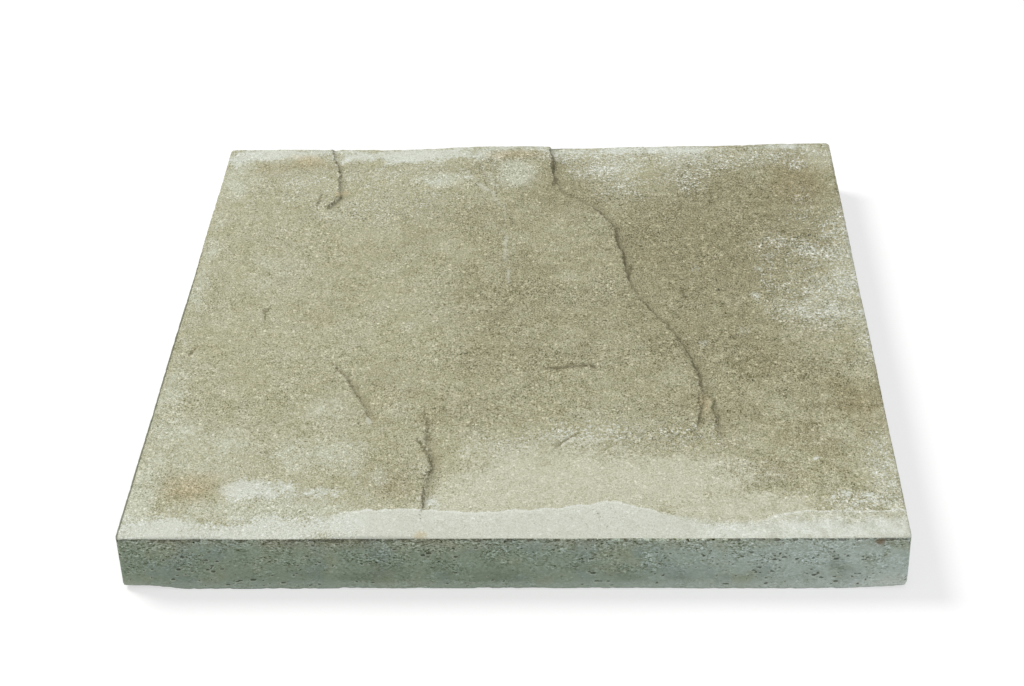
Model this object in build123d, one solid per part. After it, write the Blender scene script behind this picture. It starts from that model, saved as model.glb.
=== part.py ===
"""Square concrete paving slab with a riven top face, cast as one piece.

Millimetres, +Z up. The origin is the centre of the underside, X runs to the right and
Y away from the viewer. Places on the riven face are shares of half the side, from -1 at
the left or front edge to 1 at the right or back edge, so the pattern keeps its layout on
a slab of another size. Heights are shares of the swell, the ledge drop or the arris wear.
"""

import os

from build123d import *

# Body of the slab
side_length = 450.0  # both ways, at the underside, where the cast is widest
slab_thickness = 38.0  # underside to the mean level of the riven face
side_draft = 0.5  # each side leans in by this much from underside to top, to leave the mould
corner_radius = 3.0  # upright corners

# Riven face
riven_swell = 1.0  # height of one unit in riven_levels
level_overhang = 0.06  # share of half the side by which the lofted face runs past the sides

# Ledges, where a layer of the split stone broke off
ledge_drop = 2.4  # full height of a ledge
scarp_slope = 0.6  # the steep face below the lip runs out this far for each unit it falls
slope_overrun = 0.8  # how far both slopes of the hollow run on above the face
end_rise = 0.6  # share of that overrun by which the floor clears the face where a hollow ends
cut_headroom = 6.0  # how far the cutting solids stand above the face

# Worn arrises
upper_arris = 0.8  # rounding between the riven face and the sides
lower_arris_height = 3.6  # largest height of the break along the underside
lower_arris_depth = 5.6  # how far the break reaches in under the slab

half_side = side_length / 2

# Levels of the riven face in swells, from left to right, for each row from front to back.
level_columns = (-1.0, -0.8, -0.6, -0.4, -0.2, 0.0, 0.2, 0.4, 0.6, 0.8, 1.0)
riven_levels = {
    -1.00: (0.0, 0.5, -1.0, 0.7, -0.3, -0.9, -1.3, -2.3, -1.3, -0.5, -0.3),
    -0.88: (0.1, 0.3, 0.2, 0.8, 0.7, 0.5, 0.5, -0.2, -0.1, 0.2, 0.0),
    -0.68: (-0.1, 0.2, 0.5, 0.4, 0.8, 0.6, 0.4, 0.0, 0.2, 0.0, -0.2),
    -0.35: (-0.2, 0.3, 0.4, 0.3, 0.4, 0.2, -0.1, -0.4, 0.0, -0.3, -0.3),
    0.00: (-0.1, 0.5, 0.3, 0.6, 0.3, 0.5, 0.5, 0.0, -0.4, -0.2, 0.0),
    0.35: (-0.3, 0.2, 0.0, 0.4, 0.5, 0.6, 0.4, 0.0, -0.3, 0.0, 0.2),
    0.68: (-0.2, 0.3, -0.4, 0.2, 0.7, 0.7, 0.3, -0.1, 0.0, 0.3, 0.3),
    0.88: (-0.1, 0.1, -0.7, -0.6, 0.7, 0.8, 0.4, 0.0, 0.1, 0.3, 0.4),
    1.00: (0.4, 0.3, -0.3, -0.9, 1.0, 0.9, 0.2, -0.4, -0.2, 0.6, 1.1),
}

# Each ledge runs from the front towards the back, and falls away to its right.
# A station is its row, the column of the lip, the column where the hollow has faded out,
# and the drop as a share of the full one.
ledges = {
    "long_ledge": (
        (-0.60, 0.470, 0.54, 0.0),
        (-0.54, 0.484, 0.58, 0.35),
        (-0.43, 0.502, 0.68, 0.60),
        (-0.36, 0.512, 0.74, 0.95),
        (-0.29, 0.495, 0.77, 1.00),
        (-0.20, 0.476, 0.78, 0.80),
        (-0.10, 0.437, 0.76, 0.60),
        (0.00, 0.390, 0.74, 0.50),
        (0.10, 0.342, 0.73, 0.60),
        (0.20, 0.313, 0.72, 0.80),
        (0.31, 0.298, 0.72, 1.05),
        (0.43, 0.285, 0.73, 1.05),
        (0.51, 0.272, 0.74, 0.90),
        (0.58, 0.231, 0.76, 0.80),
        (0.65, 0.168, 0.78, 0.60),
        (0.70, 0.112, 0.80, 0.50),
        (0.76, 0.092, 0.82, 0.75),
        (0.84, 0.082, 0.84, 0.95),
        (0.93, 0.074, 0.86, 1.05),
        (1.03, 0.070, 0.88, 1.10),
    ),
    "branch_ledge": (
        (-0.62, 0.551, 0.60, 0.0),
        (-0.56, 0.548, 0.62, 0.55),
        (-0.49, 0.542, 0.64, 0.90),
        (-0.43, 0.538, 0.65, 0.95),
        (-0.38, 0.526, 0.63, 0.80),
        (-0.33, 0.520, 0.60, 0.0),
    ),
    "back_ledge": (
        (0.58, -0.640, -0.58, 0.0),
        (0.62, -0.630, -0.54, 0.60),
        (0.65, -0.620, -0.51, 0.80),
        (0.69, -0.602, -0.49, 0.95),
        (0.74, -0.603, -0.49, 0.70),
        (0.80, -0.609, -0.50, 0.60),
        (0.87, -0.625, -0.52, 0.50),
        (0.95, -0.645, -0.55, 0.40),
        (1.03, -0.660, -0.57, 0.35),
    ),
    "middle_ledge": (
        (-0.54, -0.386, -0.33, 0.0),
        (-0.49, -0.402, -0.31, 0.50),
        (-0.42, -0.432, -0.31, 0.70),
        (-0.34, -0.470, -0.35, 0.70),
        (-0.28, -0.508, -0.40, 0.50),
        (-0.23, -0.535, -0.45, 0.30),
        (-0.17, -0.590, -0.53, 0.0),
    ),
    "front_ledge": (
        (-0.93, -0.231, -0.18, 0.0),
        (-0.87, -0.227, -0.15, 0.50),
        (-0.80, -0.226, -0.12, 0.80),
        (-0.73, -0.218, -0.10, 1.00),
        (-0.67, -0.226, -0.10, 1.00),
        (-0.60, -0.244, -0.12, 0.80),
        (-0.55, -0.240, -0.13, 0.45),
        (-0.49, -0.246, -0.15, 0.30),
        (-0.42, -0.255, -0.20, 0.0),
    ),
}

# How much of the lower arris is gone, from left to right along a side seen from outside.
lower_arris_wear = (
    (-1.00, 1.00),
    (-0.95, 0.90),
    (-0.89, 0.68),
    (-0.85, 0.28),
    (-0.81, 0.07),
    (-0.52, 0.07),
    (-0.44, 0.16),
    (0.40, 0.16),
    (0.47, 0.07),
    (0.80, 0.07),
    (0.87, 0.28),
    (0.94, 0.56),
    (0.98, 0.84),
    (1.00, 1.00),
)


def make_blank():
    """Plain block with round corners, widest at the underside, taller than the slab."""
    top_height = slab_thickness + cut_headroom
    lean = side_draft * top_height / slab_thickness
    underside = RectangleRounded(side_length, side_length, corner_radius)
    top = Pos(0, 0, top_height) * RectangleRounded(
        side_length - 2 * lean, side_length - 2 * lean, corner_radius
    )
    return loft([underside, top])


def make_riven_rock():
    """Body under the riven face: cross-sections with wavy tops, lofted front to back.

    The outermost levels are repeated past the sides, so that the body is cut all round.
    """
    reach = 1 + level_overhang
    columns = (-reach, *level_columns, reach)
    rows = {-reach: riven_levels[-1.0], **riven_levels, reach: riven_levels[1.0]}
    sections = []
    for row, levels in rows.items():
        places = zip(columns, (levels[0], *levels, levels[-1]))
        face_line = Spline(
            *((column * half_side, slab_thickness + riven_swell * level) for column, level in places)
        )
        floor_line = Polyline(
            face_line @ 1,
            (reach * half_side, -cut_headroom),
            (-reach * half_side, -cut_headroom),
            face_line @ 0,
        )
        sections.append(Plane.XZ.offset(-row * half_side) * make_face(face_line + floor_line))
    return loft(sections)


def face_level(face, x, y):
    """Height of the riven face above the underside at one place in plan."""
    return face.find_intersection_points(Axis((x, y, 0), (0, 0, 1)))[0][0].Z


def make_ledge_cut(face, stations):
    """Hollow beside one ledge: a lip, a steep scarp to its foot, then a long run-out.

    Each section stands in the plane of its station. Both of its slopes run on past the
    riven face, so that they leave it cleanly, and an end station lies wholly above it.
    Straight slopes join the sections: a smooth loft would swing below its end stations.
    """
    sections = []
    top_z = slab_thickness + cut_headroom
    for row, lip_column, fade_column, drop_share in stations:
        y = row * half_side
        lip_x = lip_column * half_side
        fade_x = fade_column * half_side
        lip_z = face_level(face, lip_x, y)
        drop = ledge_drop * drop_share if drop_share else -slope_overrun * end_rise
        outline = Polyline(
            (lip_x - slope_overrun * scarp_slope, top_z),
            (lip_x - slope_overrun * scarp_slope, lip_z + slope_overrun),
            (lip_x + drop * scarp_slope, lip_z - drop),
            (fade_x, face_level(face, fade_x, y) + slope_overrun),
            (fade_x, top_z),
            close=True,
        )
        sections.append(Plane.XZ.offset(-y) * make_face(outline))
    return loft(sections, ruled=True)


def make_arris_cut():
    """Broken strip along the underside of one side, here the front one."""
    sections = []
    for share, wear in lower_arris_wear:
        outline = Polyline(
            (-half_side - lower_arris_depth, -lower_arris_height),
            (-half_side - lower_arris_depth, wear * lower_arris_height),
            (-half_side, wear * lower_arris_height),
            (-half_side + wear * lower_arris_depth, 0),
            (-half_side + wear * lower_arris_depth, -lower_arris_height),
            close=True,
        )
        plane = Plane.YZ.offset(share * (half_side + lower_arris_depth))
        sections.append(plane * make_face(outline))
    return loft(sections, ruled=True)


rock = make_riven_rock()
slab = make_blank() & rock
slab = fillet(slab.faces().sort_by(Axis.Z)[-1].edges(), upper_arris)

uncut_face = rock.faces().sort_by(Axis.Z)[-1]
for stations in ledges.values():
    slab -= make_ledge_cut(uncut_face, stations)

arris_cut = make_arris_cut()
for quarter in range(4):
    slab -= Rot(0, 0, 90 * quarter) * arris_cut

print("slab", slab.bounding_box().size, "volume in litres", round(slab.volume / 1e6, 3))

os.makedirs("parts", exist_ok=True)
export_step(slab, "parts/paving_slab.step")
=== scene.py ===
# %% [markdown]
# # A riven concrete paving slab
# The real slab is one piece of concrete, about 450 x 450 x 38 mm. It is cast in a mould
# whose face copies split sandstone, so the top is almost flat, with a few low ledges where
# a layer of the stone broke off, while the four sides are plain and pitted by air bubbles.
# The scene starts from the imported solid, which stays fixed, and dresses it with one skin.

# %% The fixed frame
import math

import bpy
import numpy as np
from mathutils import Matrix, Vector, noise
from mathutils.bvhtree import BVHTree


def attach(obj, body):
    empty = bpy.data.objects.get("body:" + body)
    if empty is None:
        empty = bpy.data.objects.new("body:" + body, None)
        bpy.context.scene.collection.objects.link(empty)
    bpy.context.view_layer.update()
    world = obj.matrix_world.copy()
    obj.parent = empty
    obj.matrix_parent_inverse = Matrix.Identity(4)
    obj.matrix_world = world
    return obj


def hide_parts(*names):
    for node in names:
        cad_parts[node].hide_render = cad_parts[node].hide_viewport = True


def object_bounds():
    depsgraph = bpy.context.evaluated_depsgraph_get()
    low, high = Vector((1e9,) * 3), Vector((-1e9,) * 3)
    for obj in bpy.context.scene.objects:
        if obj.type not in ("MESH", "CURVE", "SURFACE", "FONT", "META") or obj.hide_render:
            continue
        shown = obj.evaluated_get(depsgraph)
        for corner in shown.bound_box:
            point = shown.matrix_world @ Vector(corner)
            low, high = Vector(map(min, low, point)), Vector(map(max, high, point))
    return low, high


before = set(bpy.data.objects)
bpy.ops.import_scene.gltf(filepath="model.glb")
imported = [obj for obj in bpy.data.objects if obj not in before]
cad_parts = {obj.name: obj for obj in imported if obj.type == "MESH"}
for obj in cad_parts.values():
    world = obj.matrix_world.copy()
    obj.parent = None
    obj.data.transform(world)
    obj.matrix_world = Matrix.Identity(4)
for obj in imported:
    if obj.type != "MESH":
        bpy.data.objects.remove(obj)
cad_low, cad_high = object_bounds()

mm = 0.001
slab_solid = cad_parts["paving_slab"]
half_side = (cad_high.x - cad_low.x) / 2
mean_level = 38.0 * mm  # of the riven face
print("slab", [round(1000 * (b - a), 1) for a, b in zip(cad_low, cad_high)], "mm")

# %% [markdown]
# ## A skin of small cells
# Concrete is rough at the scale of a millimetre, and a ledge is only two millimetres high.
# One even mesh that fine would need a million faces, most of them on flat ground. So the
# skin is cut from a block of small cells: they are smallest along the ledges and on the
# front side, a little larger on the other sides, and largest on open ground and
# underneath. Every corner has whole-number coordinates, which the six sides of the block
# share, so the skin is closed.

# %% The block of cells
cells_across = 576
cells_up = 48
largest_cell = 16

# Each side of the block: its corner, then the directions in which its cells are counted.
# The two directions turn from one to the other as seen from outside.
block_sides = {
    "riven": ((0, 0, cells_up), (1, 0, 0), (0, 1, 0)),
    "bed": ((0, 0, 0), (0, 1, 0), (1, 0, 0)),
    "front": ((0, 0, 0), (1, 0, 0), (0, 0, 1)),
    "right": ((cells_across, 0, 0), (0, 1, 0), (0, 0, 1)),
    "back": ((cells_across, cells_across, 0), (-1, 0, 0), (0, 0, 1)),
    "left": ((0, cells_across, 0), (0, -1, 0), (0, 0, 1)),
}
cell_width = 2 * half_side / cells_across
cell_height = mean_level / cells_up
print("smallest cell", round(1000 * cell_width, 2), "x", round(1000 * cell_height, 2), "mm")


# %% [markdown]
# ## The level of the riven face
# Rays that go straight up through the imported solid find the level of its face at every
# corner of the smallest cells. The places of the rays wander a little, so that the clean
# lines of the ledges turn as jagged as a broken edge is.

# %% Rays through the solid
solid_tree = BVHTree.FromObject(slab_solid, bpy.context.evaluated_depsgraph_get())
corner_radius = 3 * mm
ray_margin = 1.5 * mm
still_rim, wander_reach = 8 * mm, 16 * mm  # from the sides inwards: none, then all of it
coarse_stray, fine_stray, jagged_stray = 2.0 * mm, 1.4 * mm, 1.2 * mm


def waves(place, length, seed):
    """Smooth noise from -1 to 1 whose bumps are about that far apart."""
    shift = Vector((13.7, 71.3, 37.9)) * seed
    return noise.noise(place / length + shift)


def step_between(low, high, value):
    """0 below low, 1 above high, and a smooth rise between."""
    share = np.clip((value - low) / (high - low), 0, 1)
    return share * share * (3 - 2 * share)


def inside_the_outline(x, y):
    """The nearest place that keeps clear of the rounded arris and corners."""
    limit = half_side - ray_margin
    x, y = max(-limit, min(limit, x)), max(-limit, min(limit, y))
    middle = half_side - corner_radius
    across, along = abs(x) - middle, abs(y) - middle
    if across > 0 and along > 0:
        far = math.hypot(across, along) / (corner_radius - ray_margin)
        if far > 1:
            x = math.copysign(middle + across / far, x)
            y = math.copysign(middle + along / far, y)
    return x, y


def wandered(x, y):
    """A place that strays, less near the arrises, and keeps inside the outline."""
    place = Vector((x, y, 0))
    freedom = float(step_between(still_rim, wander_reach, half_side - max(abs(x), abs(y))))
    if freedom:
        coarse, fine = coarse_stray * freedom, fine_stray * freedom
        x += coarse * waves(place, 21 * mm, 1) + fine * waves(place, 6 * mm, 2)
        y += coarse * waves(place, 21 * mm, 3) + fine * waves(place, 6 * mm, 4)
        x += jagged_stray * freedom * waves(place, 2.4 * mm, 9)
        y += jagged_stray * freedom * waves(place, 2.4 * mm, 10)
    return inside_the_outline(x, y)


def level_of_solid(x, y):
    """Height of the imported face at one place."""
    return solid_tree.ray_cast(Vector((x, y, mean_level / 2)), Vector((0, 0, 1)))[0].z


places = np.linspace(-half_side, half_side, cells_across + 1)
read_at = np.array([[wandered(x, y) for y in places] for x in places])
solid_level = np.array([[level_of_solid(x, y) for x, y in row] for row in read_at])
print("face of the solid from", round(1000 * solid_level.min(), 2), "to",
      round(1000 * solid_level.max(), 2), "mm")

# %% [markdown]
# ## Crisp ledges on soft ground
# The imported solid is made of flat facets, which would catch the light on open ground. A
# blurred copy of the levels smooths them away, and the sharp levels are kept only where
# the two differ, which is along the ledges. In places feet and brooms have rubbed the lip
# of a ledge round. Then come the slight waves of split stone.

# %% Softening the open ground


def blurred(levels, reach):
    """Gaussian blur over the grid of levels, with the edge values carried outwards."""
    spread = reach / cell_width
    arm = int(3 * spread) + 1
    weights = np.exp(-0.5 * (np.arange(-arm, arm + 1) / spread) ** 2)
    weights /= weights.sum()
    for axis in (0, 1):
        padding = [(0, 0), (0, 0)]
        padding[axis] = (arm, arm)
        wide = np.pad(levels, padding, mode="edge")
        levels = sum(
            w * np.take(wide, np.arange(k, k + cells_across + 1), axis=axis)
            for k, w in enumerate(weights)
        )
    return levels


soft_level = blurred(solid_level, 5 * mm)
soft_change, sharp_change = 0.10 * mm, 0.25 * mm
crispness = step_between(soft_change, sharp_change, np.abs(solid_level - soft_level))


def over_the_face(rule):
    """A number for every corner of the grid, from a rule on its place."""
    return np.array([[rule(Vector((x, y, 0))) for y in places] for x in places])


rubbed = over_the_face(lambda place: 0.05 + waves(place, 30 * mm, 17)).clip(0, 1)
sharp_level = solid_level + (blurred(solid_level, 1.5 * mm) - solid_level) * rubbed
level = soft_level + (sharp_level - soft_level) * crispness

# Height, length and seed of the slight waves.
ripples = ((0.26 * mm, 34 * mm, 5), (0.13 * mm, 11 * mm, 6), (0.07 * mm, 4.5 * mm, 7))
level += over_the_face(
    lambda place: sum(height * waves(place, length, seed) for height, length, seed in ripples)
)
print("sharp ground", round(100 * float((crispness > 0.5).mean()), 1), "percent")

# %% [markdown]
# ## Small marks of splitting
# Besides the ledges the face has short grooves, pits and faint ridges, too fine to be part
# of the solid. Each one is a chain of places with a width and a depth, and presses a
# rounded groove into the levels. A negative depth raises a ridge.

# %% Grooves, pits and ridges
# Each place is x, y and width in millimetres. The depth follows the chain.
small_marks = (
    (((-168, 10, 2), (-170, 4, 2.8), (-168, -5, 1.6)), 0.9),
    (((-208, -35, 2.4), (-212, -45, 2)), 0.7),
    (((25, -140, 1.4), (31, -133, 2.2), (38, -127, 1.4)), 0.7),
    (((25, -140, 1.8), (15, -143, 1.6), (5, -142, 1.6)), 0.35),
    (((8, -62, 1.8), (10, -58, 2), (14, -50, 1.4)), 0.45),
    (((20, -61, 3), (34, -59, 5), (48, -61, 4)), 0.40),
    (((108, 150, 1.6), (110, 132, 1.6), (113, 115, 1.6)), 0.4),
    (((131, 150, 1.6), (132, 140, 1.6)), 0.35),
    (((100, 35, 1.6), (107, 25, 1.6)), 0.35),
    (((0, 25, 1.6), (9, 36, 1.6), (15, 50, 1.6)), 0.3),
    (((-12, 40, 1.8), (-14, 32, 1.8), (-12, 25, 1.8)), 0.4),
    (((10, -150, 1.6), (18, -160, 1.6)), 0.3),
    (((-130, -135, 1.6), (-127, -131, 1.6), (-126, -138, 1.6)), 0.4),
    (((-88, -53, 2), (-86, -55, 2)), 0.5),
    (((-60, -30, 1.6), (-62, -45, 1.6)), 0.35),
    (((-149, 156, 1.6), (-150, 150, 2.4), (-151, 144, 1.4)), 0.6),
    (((-59, -133, 1.6), (-55, -142, 3), (-52, -150, 2)), 0.5),
    (((-141, -28, 1.2), (-133, -38, 1.4)), 0.3),
    (((-35, 190, 3), (-20, 150, 3), (-5, 100, 2)), -0.22),
    (((40, -205, 1.2), (44, -214, 1.2), (43, -223, 1.2)), 0.3),
    (((50, -203, 1.2), (51, -215, 1.2), (49, -223, 1.2)), 0.3),
)
print(len(small_marks), "small marks")

# %% Pressing the marks in


def gap_to_chain(x_grid, y_grid, chain):
    """How far each place is from a chain, as a share of the width that it has there."""
    nearest = np.full_like(x_grid, 100.0)
    for (x0, y0, width0), (x1, y1, width1) in zip(chain, chain[1:]):
        run_x, run_y = (x1 - x0) * mm, (y1 - y0) * mm
        off_x, off_y = x_grid - x0 * mm, y_grid - y0 * mm
        share = ((off_x * run_x + off_y * run_y) / (run_x**2 + run_y**2)).clip(0, 1)
        gap = np.hypot(off_x - share * run_x, off_y - share * run_y)
        nearest = np.minimum(nearest, gap / ((width0 + (width1 - width0) * share) * mm))
    return nearest


def press_marks(levels):
    """Lowers the levels along each chain of places."""
    x_grid, y_grid = np.meshgrid(places, places, indexing="ij")
    raggedness = over_the_face(lambda place: 0.8 + 0.9 * waves(place, 5 * mm, 8)).clip(0)
    for chain, depth in small_marks:
        groove = np.exp(-4 * gap_to_chain(x_grid, y_grid, chain) ** 2)
        levels = levels - groove * depth * mm * raggedness
    return levels


level = press_marks(level)
# Both measure how far a place lies below its blurred surroundings. The narrow one is painted as
# dirt and painted shade in creases, the broad one as painted shade in low ground.
crevice_depth, hollow_depth = 0.45 * mm, 0.60 * mm
crevice = np.clip((blurred(level, 2.0 * mm) - level) / crevice_depth, -1, 1)
hollow_shade = np.clip((blurred(level, 6.0 * mm) - level) / hollow_depth, -1, 1)
print("face of the skin from", round(1000 * level.min(), 2), "to",
      round(1000 * level.max(), 2), "mm")

# %% [markdown]
# ## How fine the cells are
# Each side of the block gets a map of the cell size that it wants. Cells of one unit lie
# along ledges and marks, which the narrow blur has already found, on the front side and
# under its lower arris. The size then doubles away from them, so neighbours fit together.

# %% Wanted cell sizes


def grown(mask, cells):
    """The mask, larger by that many cells all round."""
    for axis in (0, 1):
        wide = np.pad(mask, cells)
        mask = np.any([np.roll(wide, k, axis) for k in range(-cells, cells + 1)], axis=0)
        mask = mask[cells:-cells, cells:-cells]
    return mask


def nearness(side):
    """For every unit cell of a side, how many units it is from the side's edge."""
    across, up = side_shape[side]
    x = np.minimum(np.arange(across), np.arange(across)[::-1])
    y = np.minimum(np.arange(up), np.arange(up)[::-1])
    return np.minimum(x[:, None], y[None, :])


side_shape = {
    name: (cells_across, cells_across if name in ("riven", "bed") else cells_up)
    for name in block_sides
}
wanted = {}
for name in ("front", "right", "back", "left"):
    wanted[name] = np.full(side_shape[name], 1 if name == "front" else 2)

edge_gap = nearness("bed")
wanted["bed"] = np.select([edge_gap < 4, edge_gap < 16, edge_gap < 48], [2, 4, 8], 16)
wanted["bed"][:2] = 1  # under the front arris: the first count of this side runs back
wanted["riven"] = np.where(nearness("riven") < 4, 2, 4)

rough_from = 0.30
rough = np.abs(crevice[:-1, :-1]) > rough_from
wanted["riven"][grown(rough, 6)] = 2
wanted["riven"][grown(rough, 1)] = 1
for name, grid in wanted.items():
    print(name, "wants", {int(n): int((grid == n).sum()) for n in np.unique(grid)})

# %% [markdown]
# ## Cutting the block into cells
# Each side starts from large cells. A cell that is larger than something inside it wants
# is cut into four, again and again. A corner on the edge of a larger neighbour becomes a
# corner of that neighbour too, which then has five or more corners, so no crack opens.

# %% Cells of each side


def finest_within(grid, size):
    """The smallest wanted size in each block of that many cells."""
    across, up = grid.shape
    return grid.reshape(across // size, size, up // size, size).min(axis=(1, 3))


def cells_of(side):
    """Lowest corner and size of every cell of one side."""
    finest = {}
    size = largest_cell
    while size:
        finest[size] = finest_within(wanted[side], size)
        size //= 2
    across, up = side_shape[side]
    waiting = [
        (x, y, largest_cell)
        for x in range(0, across, largest_cell)
        for y in range(0, up, largest_cell)
    ]
    while waiting:
        x, y, size = waiting.pop()
        if size > finest[size][x // size, y // size]:
            half = size // 2
            waiting += [(x + a, y + b, half) for a in (0, half) for b in (0, half)]
        else:
            yield x, y, size


def block_corner(side, x, y):
    """The whole-number place on the block of a corner of one side."""
    start, first, second = block_sides[side]
    return tuple(s + x * a + y * b for s, a, b in zip(start, first, second))


cells = [(side, *cell) for side in block_sides for cell in cells_of(side)]
corner_number = {}
for side, x, y, size in cells:
    for a, b in ((0, 0), (size, 0), (size, size), (0, size)):
        corner_number.setdefault(block_corner(side, x + a, y + b), len(corner_number))

cell_faces = []
for side, x, y, size in cells:
    rim = [(x + n, y) for n in range(size)] + [(x + size, y + n) for n in range(size)]
    rim += [(x + size - n, y + size) for n in range(size)]
    rim += [(x, y + size - n) for n in range(size)]
    numbers = (corner_number.get(block_corner(side, a, b)) for a, b in rim)
    cell_faces.append([n for n in numbers if n is not None])
triangles = sum(len(face) - 2 for face in cell_faces)
print(len(corner_number), "corners,", len(cell_faces), "cells,", triangles, "triangles")

# %% [markdown]
# ## Laying the skin on the solid
# For each corner a ray leaves a point inside the slab and meets the surface of the packed
# solid. On the open face the rays go straight up. Near the arrises they fan out, so the
# cells wrap evenly round the worn edges. The relief of the cast sides is pushed inwards
# only, and so is the wear of the arrises, so the skin never leaves the box of the solid.

# %% Places of the corners
fan_depth = 8 * mm  # how far inside the rays start
side_relief = 0.16 * mm
upper_wear = 0.8 * mm
lower_wear = 0.6 * mm
side_end, face_start = 30 * mm, 36 * mm  # heights between which the side turns into the face
change_of_level = level - solid_level


def wear_of_arris(place, gap):
    """How deep the upper arris is nicked: most on the arris, nothing 3 mm away."""
    closeness = 1 - float(step_between(0.4 * mm, 3.2 * mm, gap))
    nick = max(0, waves(place, 6 * mm, 11) - 0.12) + 0.5 * max(0, waves(place, 2.6 * mm, 12))
    return upper_wear * closeness * nick


def breakage_below(place, gap):
    """How far the ragged lower arris is broken back."""
    closeness = 1 - float(step_between(1.0 * mm, 6.5 * mm, gap))
    tear = 0.15 + 0.9 * waves(place, 12 * mm, 13) + 0.8 * waves(place, 4 * mm, 14)
    return lower_wear * closeness * max(0, tear)


def relief_of_cast(place):
    """The uneven skin of cement on the sides and the bed, as a depth."""
    return side_relief * (
        0.5 + 0.5 * waves(place, 16 * mm, 15) + 0.3 * max(0, waves(place, 3 * mm, 16))
    )


def corner_place(i, j, k):
    """Where one corner of the block lies on the skin, in metres."""
    sharp = Vector((i * cell_width - half_side, j * cell_width - half_side, k * cell_height))
    limit = half_side - fan_depth
    inner = Vector((
        max(-limit, min(limit, sharp.x)),
        max(-limit, min(limit, sharp.y)),
        max(fan_depth, min(mean_level - fan_depth, sharp.z)),
    ))
    outward = sharp - inner
    if k == cells_up and outward.x == 0 and outward.y == 0:
        return Vector((sharp.x, sharp.y, level[i, j]))
    outward.normalize()
    place = solid_tree.ray_cast(inner, outward)[0]
    above = float(step_between(side_end, face_start, place.z))
    place.z += change_of_level[i, j] * above
    side_gap = half_side - max(abs(place.x), abs(place.y))
    depth = wear_of_arris(place, math.hypot(mean_level - place.z, side_gap))
    depth += breakage_below(place, math.hypot(place.z, side_gap))
    if k < cells_up:
        depth += relief_of_cast(place) * (1 - above)
    return place - depth * outward


corners = np.array([corner_place(*key) for key in corner_number])
corners[:, 2] = np.minimum(corners[:, 2], cad_high.z)

skin_mesh = bpy.data.meshes.new("paving_slab_skin")
skin_mesh.from_pydata(corners.tolist(), [], cell_faces)
skin_mesh.shade_smooth()
print("skin from", (corners.min(0) * 1000).round(2), "to", (corners.max(0) * 1000).round(2))

# %% [markdown]
# ## What each corner of the skin knows
# The finishes need to know where dirt gathers, where shade is painted and where the stone
# is stained. Such masks are stored on the corners of the mesh as named attributes, as a
# painter would paint them by hand. Dirt, painted shade and scrapes follow lines. Stains are
# large and soft, so a list of ovals is enough: the finishes give them their ragged edges later.

# %% Masks from the shape
grid_places = np.array([(i, j) for i, j, k in corner_number])
on_face = step_between(side_end, face_start, corners[:, 2])


def store_mask(name, values):
    """Stores one number for each corner of the skin."""
    layer = skin_mesh.attributes.new(name, "FLOAT", "POINT")
    layer.data.foreach_set("value", np.asarray(values, np.float32))
    least, most = float(np.min(values)), float(np.max(values))
    print("mask", name, "from", round(least, 2), "to", round(most, 2))


def at_corners(grid):
    """Numbers over the face, read off at every corner of the skin."""
    return grid[grid_places[:, 0], grid_places[:, 1]] * on_face


store_mask("crevice", at_corners(crevice))
store_mask("hollow_shade", at_corners(hollow_shade))
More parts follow.
